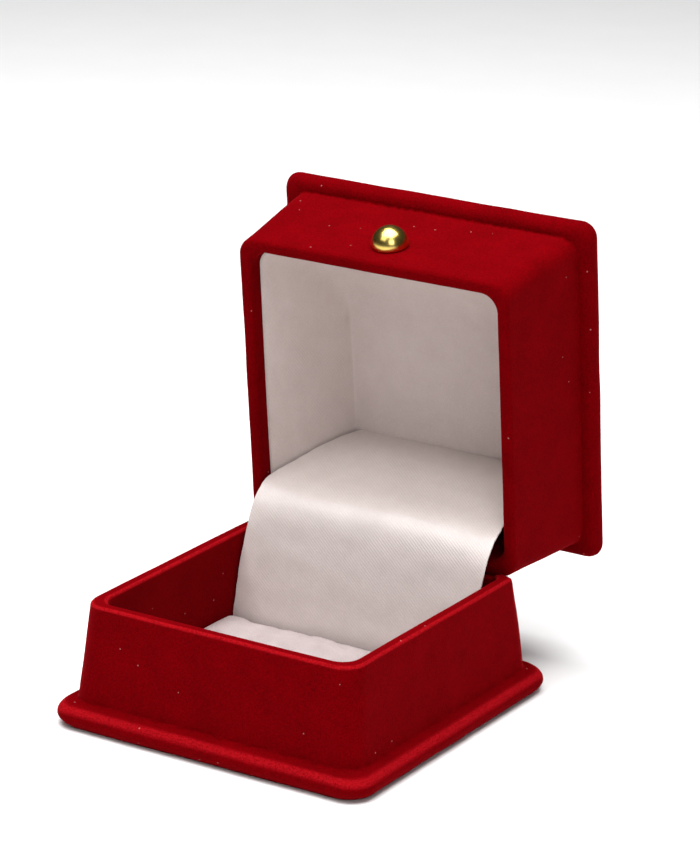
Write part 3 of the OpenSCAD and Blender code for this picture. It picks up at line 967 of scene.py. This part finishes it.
# %% Folds of the pad's cover
coords = np.array([v.co for v in ring_pad.data.vertices])
x, y, z = coords.T
on_top = smoothstep(z, pad_low.z + 1.0 * MM, pad_top - 1.0 * MM)
folds = waviness(coords * [1.0, 0.35, 0.2], 9 * MM, 53)
coords[:, 2] += 0.38 * MM * on_top * folds
coords[:, 2] = np.maximum(coords[:, 2], pad_low.z)
edge_x = pad_high.x + 0.25 * MM
coords[:, 0] = np.clip(x, -edge_x, edge_x)
coords[:, 1] = np.clip(y, pad_low.y - 0.25 * MM, pad_high.y + 0.35 * MM)
ring_pad.data.vertices.foreach_set("co", coords.astype(np.float32).ravel())
smoother = ring_pad.modifiers.new("soft", "SUBSURF")
smoother.levels = smoother.render_levels = 1
apply_modifiers(ring_pad)
ring_pad.data.shade_smooth()
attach(ring_pad, "base")
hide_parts("pad_cover", "pad_foam_front", "pad_foam_rear")
print("ring_pad:", len(ring_pad.data.vertices), "points")

# %% [markdown]
# ## The gilt stud
#
# The stud is a thumb-rest: a dome pressed from sheet, with its edge turned under. It
# sits square to the sloping front wall of the lid. A turned shape like this is a
# profile swept round its axis.

# %% Stud
stud_up = 6.2 * MM
wall_run = lid_h - rim_edge - 2 * lid_bead_r - (lid_bead_out - lid_bead_r - lid_flare)
wall_lean = math.atan(lid_flare / wall_run)
stud_wall = np.array([0, -rim_half - lid_flare * (stud_up - rim_edge) / wall_run, rim_z + stud_up])
stud_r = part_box("stud_dome")[1].x


def turned(profile, steps=72):
    """Points and faces of a profile of (radius, height) pairs swept round Z."""
    points = [[r * math.cos(a), r * math.sin(a), h]
              for r, h in profile for a in np.linspace(0, 2 * math.pi, steps, endpoint=False)]
    caps = [tuple(range(steps)), tuple((len(profile) - 1) * steps + i for i in range(steps))]
    return np.array(points), grid_faces(len(profile), steps, around=True) + caps


skirt = 0.35 * MM
turned_under = [[0.82 * stud_r, -0.1 * MM], [0.93 * stud_r, 0.0], [0.985 * stud_r, 0.08 * MM]]
dome = turned_under + [[stud_r, skirt * 0.6]]
dome += [[stud_r * math.cos(a), skirt + stud_r * math.sin(a)] for a in np.linspace(0.02, 1.52, 22)]
points, faces = turned(dome)
lean = np.array(Matrix.Rotation(math.pi / 2 + wall_lean, 3, "X"))
gilt_stud = make_piece("gilt_stud", opened(points @ lean.T + stud_wall), faces, gilt_brass, 60)
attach(gilt_stud, "lid")
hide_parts("stud_dome")
print(f"gilt_stud: {2000 * stud_r:.1f} mm across")

# %% [markdown]
# ## The carried-over hinge, card and foam
#
# The hinge's leaves, pin, rivets and spring are already the right shape, so they only
# need their finishes and a small bevel where the sheet was sheared. The same goes for
# the washer, the foam behind the lining, and the cards under the base and the pad.

# %% Finishes for the CAD nodes
finishes = {
    "base_plate": red_paper, "pad_card": white_card, "lid_foam": pale_foam,
    "hinge_leaf_base": stamped_brass, "hinge_leaf_lid": stamped_brass,
    "hinge_rivets_base": stamped_brass, "hinge_rivets_lid": stamped_brass,
    "hinge_pin": drawn_steel, "hinge_spring": drawn_steel, "stud_washer": drawn_steel,
}
for node_name, finish in finishes.items():
    node = frame["nodes"][node_name]
    node.data.materials.clear()
    node.data.materials.append(finish)
    bevel = node.modifiers.new("eased_edge", "BEVEL")
    bevel.width = 0.06 * MM
    bevel.segments = 2
    bevel.limit_method = "ANGLE"
    bevel.angle_limit = math.radians(50)
    bevel.harden_normals = False
print("finished", len(finishes), "carried-over nodes")

# %% [markdown]
# ## Floor, light and camera
#
# A pale sheet of paper, a bright room and three soft lights are all a small box needs.
# The sheet is wide, so that its far edge stays out of sight from most sides.

# %% Floor
floor_material, floor_shader = new_material("studio_paper")
floor_place = add_node(floor_material, "ShaderNodeTexCoord").outputs["Object"]
floor_tone = add_node(floor_material, "ShaderNodeTexNoise", {"Vector": floor_place},
                      Scale=60.0, Detail=2.0)
floor_colour = colour_ramp(floor_material, floor_tone.outputs["Fac"],
                           [(0.0, srgb("#f0f0f0")), (1.0, srgb("#f4f4f4"))])
floor_material.node_tree.links.new(floor_colour, floor_shader.inputs["Base Color"])
floor_shader.inputs["Roughness"].default_value = 0.9
reach = 1.5
corners = [[-reach, -reach, 0], [reach, -reach, 0], [reach, reach, 0], [-reach, reach, 0]]
floor = make_piece("floor", corners, [(0, 1, 2, 3)], floor_material)
print(f"the floor is {2 * reach:.1f} m across")

# %% [markdown]
# The room is brighter overhead than at the horizon, as with a white ceiling.

# %% Room light
world = bpy.data.worlds.new("studio")
bpy.context.scene.world = world
world.use_nodes = True
background = world.node_tree.nodes["Background"]
direction = world.node_tree.nodes.new("ShaderNodeTexCoord")
height = world.node_tree.nodes.new("ShaderNodeSeparateXYZ")
room = world.node_tree.nodes.new("ShaderNodeMapRange")
room.inputs["From Min"].default_value, room.inputs["From Max"].default_value = -0.1, 0.8
room.inputs["To Min"].default_value, room.inputs["To Max"].default_value = 0.52, 1.22
world.node_tree.links.new(direction.outputs["Generated"], height.inputs["Vector"])
world.node_tree.links.new(height.outputs["Z"], room.inputs["Value"])
world.node_tree.links.new(room.outputs["Result"], background.inputs["Strength"])
print("the room light goes from", room.inputs["To Min"].default_value, "to",
      room.inputs["To Max"].default_value)


# %% [markdown]
# The large light overhead brightens everything that faces up. Two weaker ones in front,
# to the left and the right, open the shadows inside the lid.

# %% Soft lights
def soft_light(name, place, aim, size, watts):
    light = bpy.data.lights.new(name, "AREA")
    light.shape = "RECTANGLE"
    light.size, light.size_y = size
    light.energy = watts
    lamp = bpy.data.objects.new(name, light)
    bpy.context.scene.collection.objects.link(lamp)
    lamp.location = place
    lamp.rotation_mode = "QUATERNION"
    lamp.rotation_quaternion = (Vector(aim) - Vector(place)).to_track_quat("-Z", "Y")
    print(f"{name}: {watts} W")


middle = (cad_box[0] + cad_box[1]) / 2
soft_light("overhead", (0.0, -0.03, 0.62), middle, (0.7, 0.6), 9.2)
soft_light("front_left", (-0.16, -0.42, 0.50), middle, (0.35, 0.3), 0.7)
soft_light("front_right", (0.42, -0.45, 0.36), middle, (0.35, 0.35), 1.15)
bpy.context.scene.view_settings.view_transform = "Standard"

# %% [markdown]
# The camera stands about 0.6 m away with a long lens, turned 32 degrees to the right
# of the front, 18 degrees above the table and rolled by half a degree.

# %% Camera
camera_data = bpy.data.cameras.new("camera")
camera = bpy.data.objects.new("camera", camera_data)
bpy.context.scene.collection.objects.link(camera)
azimuth, elevation, roll = math.radians(32.423), math.radians(18.475), math.radians(0.6)
towards_camera = Vector((math.sin(azimuth) * math.cos(elevation),
                         -math.cos(azimuth) * math.cos(elevation), math.sin(elevation)))
camera.location = Vector((307.600, -471.261, 234.155)) * MM
camera.rotation_mode = "QUATERNION"
camera.rotation_quaternion = (-towards_camera).to_track_quat("-Z", "Y")
camera.rotation_quaternion = (
    camera.rotation_quaternion @ Matrix.Rotation(roll, 4, "Z").to_quaternion()
)
camera_data.sensor_width = 36
camera_data.lens = 160.65
camera_data.clip_start, camera_data.clip_end = 0.05, 10
bpy.context.scene.camera = camera
print(f"the camera is {camera.location.length:.2f} m from the origin")
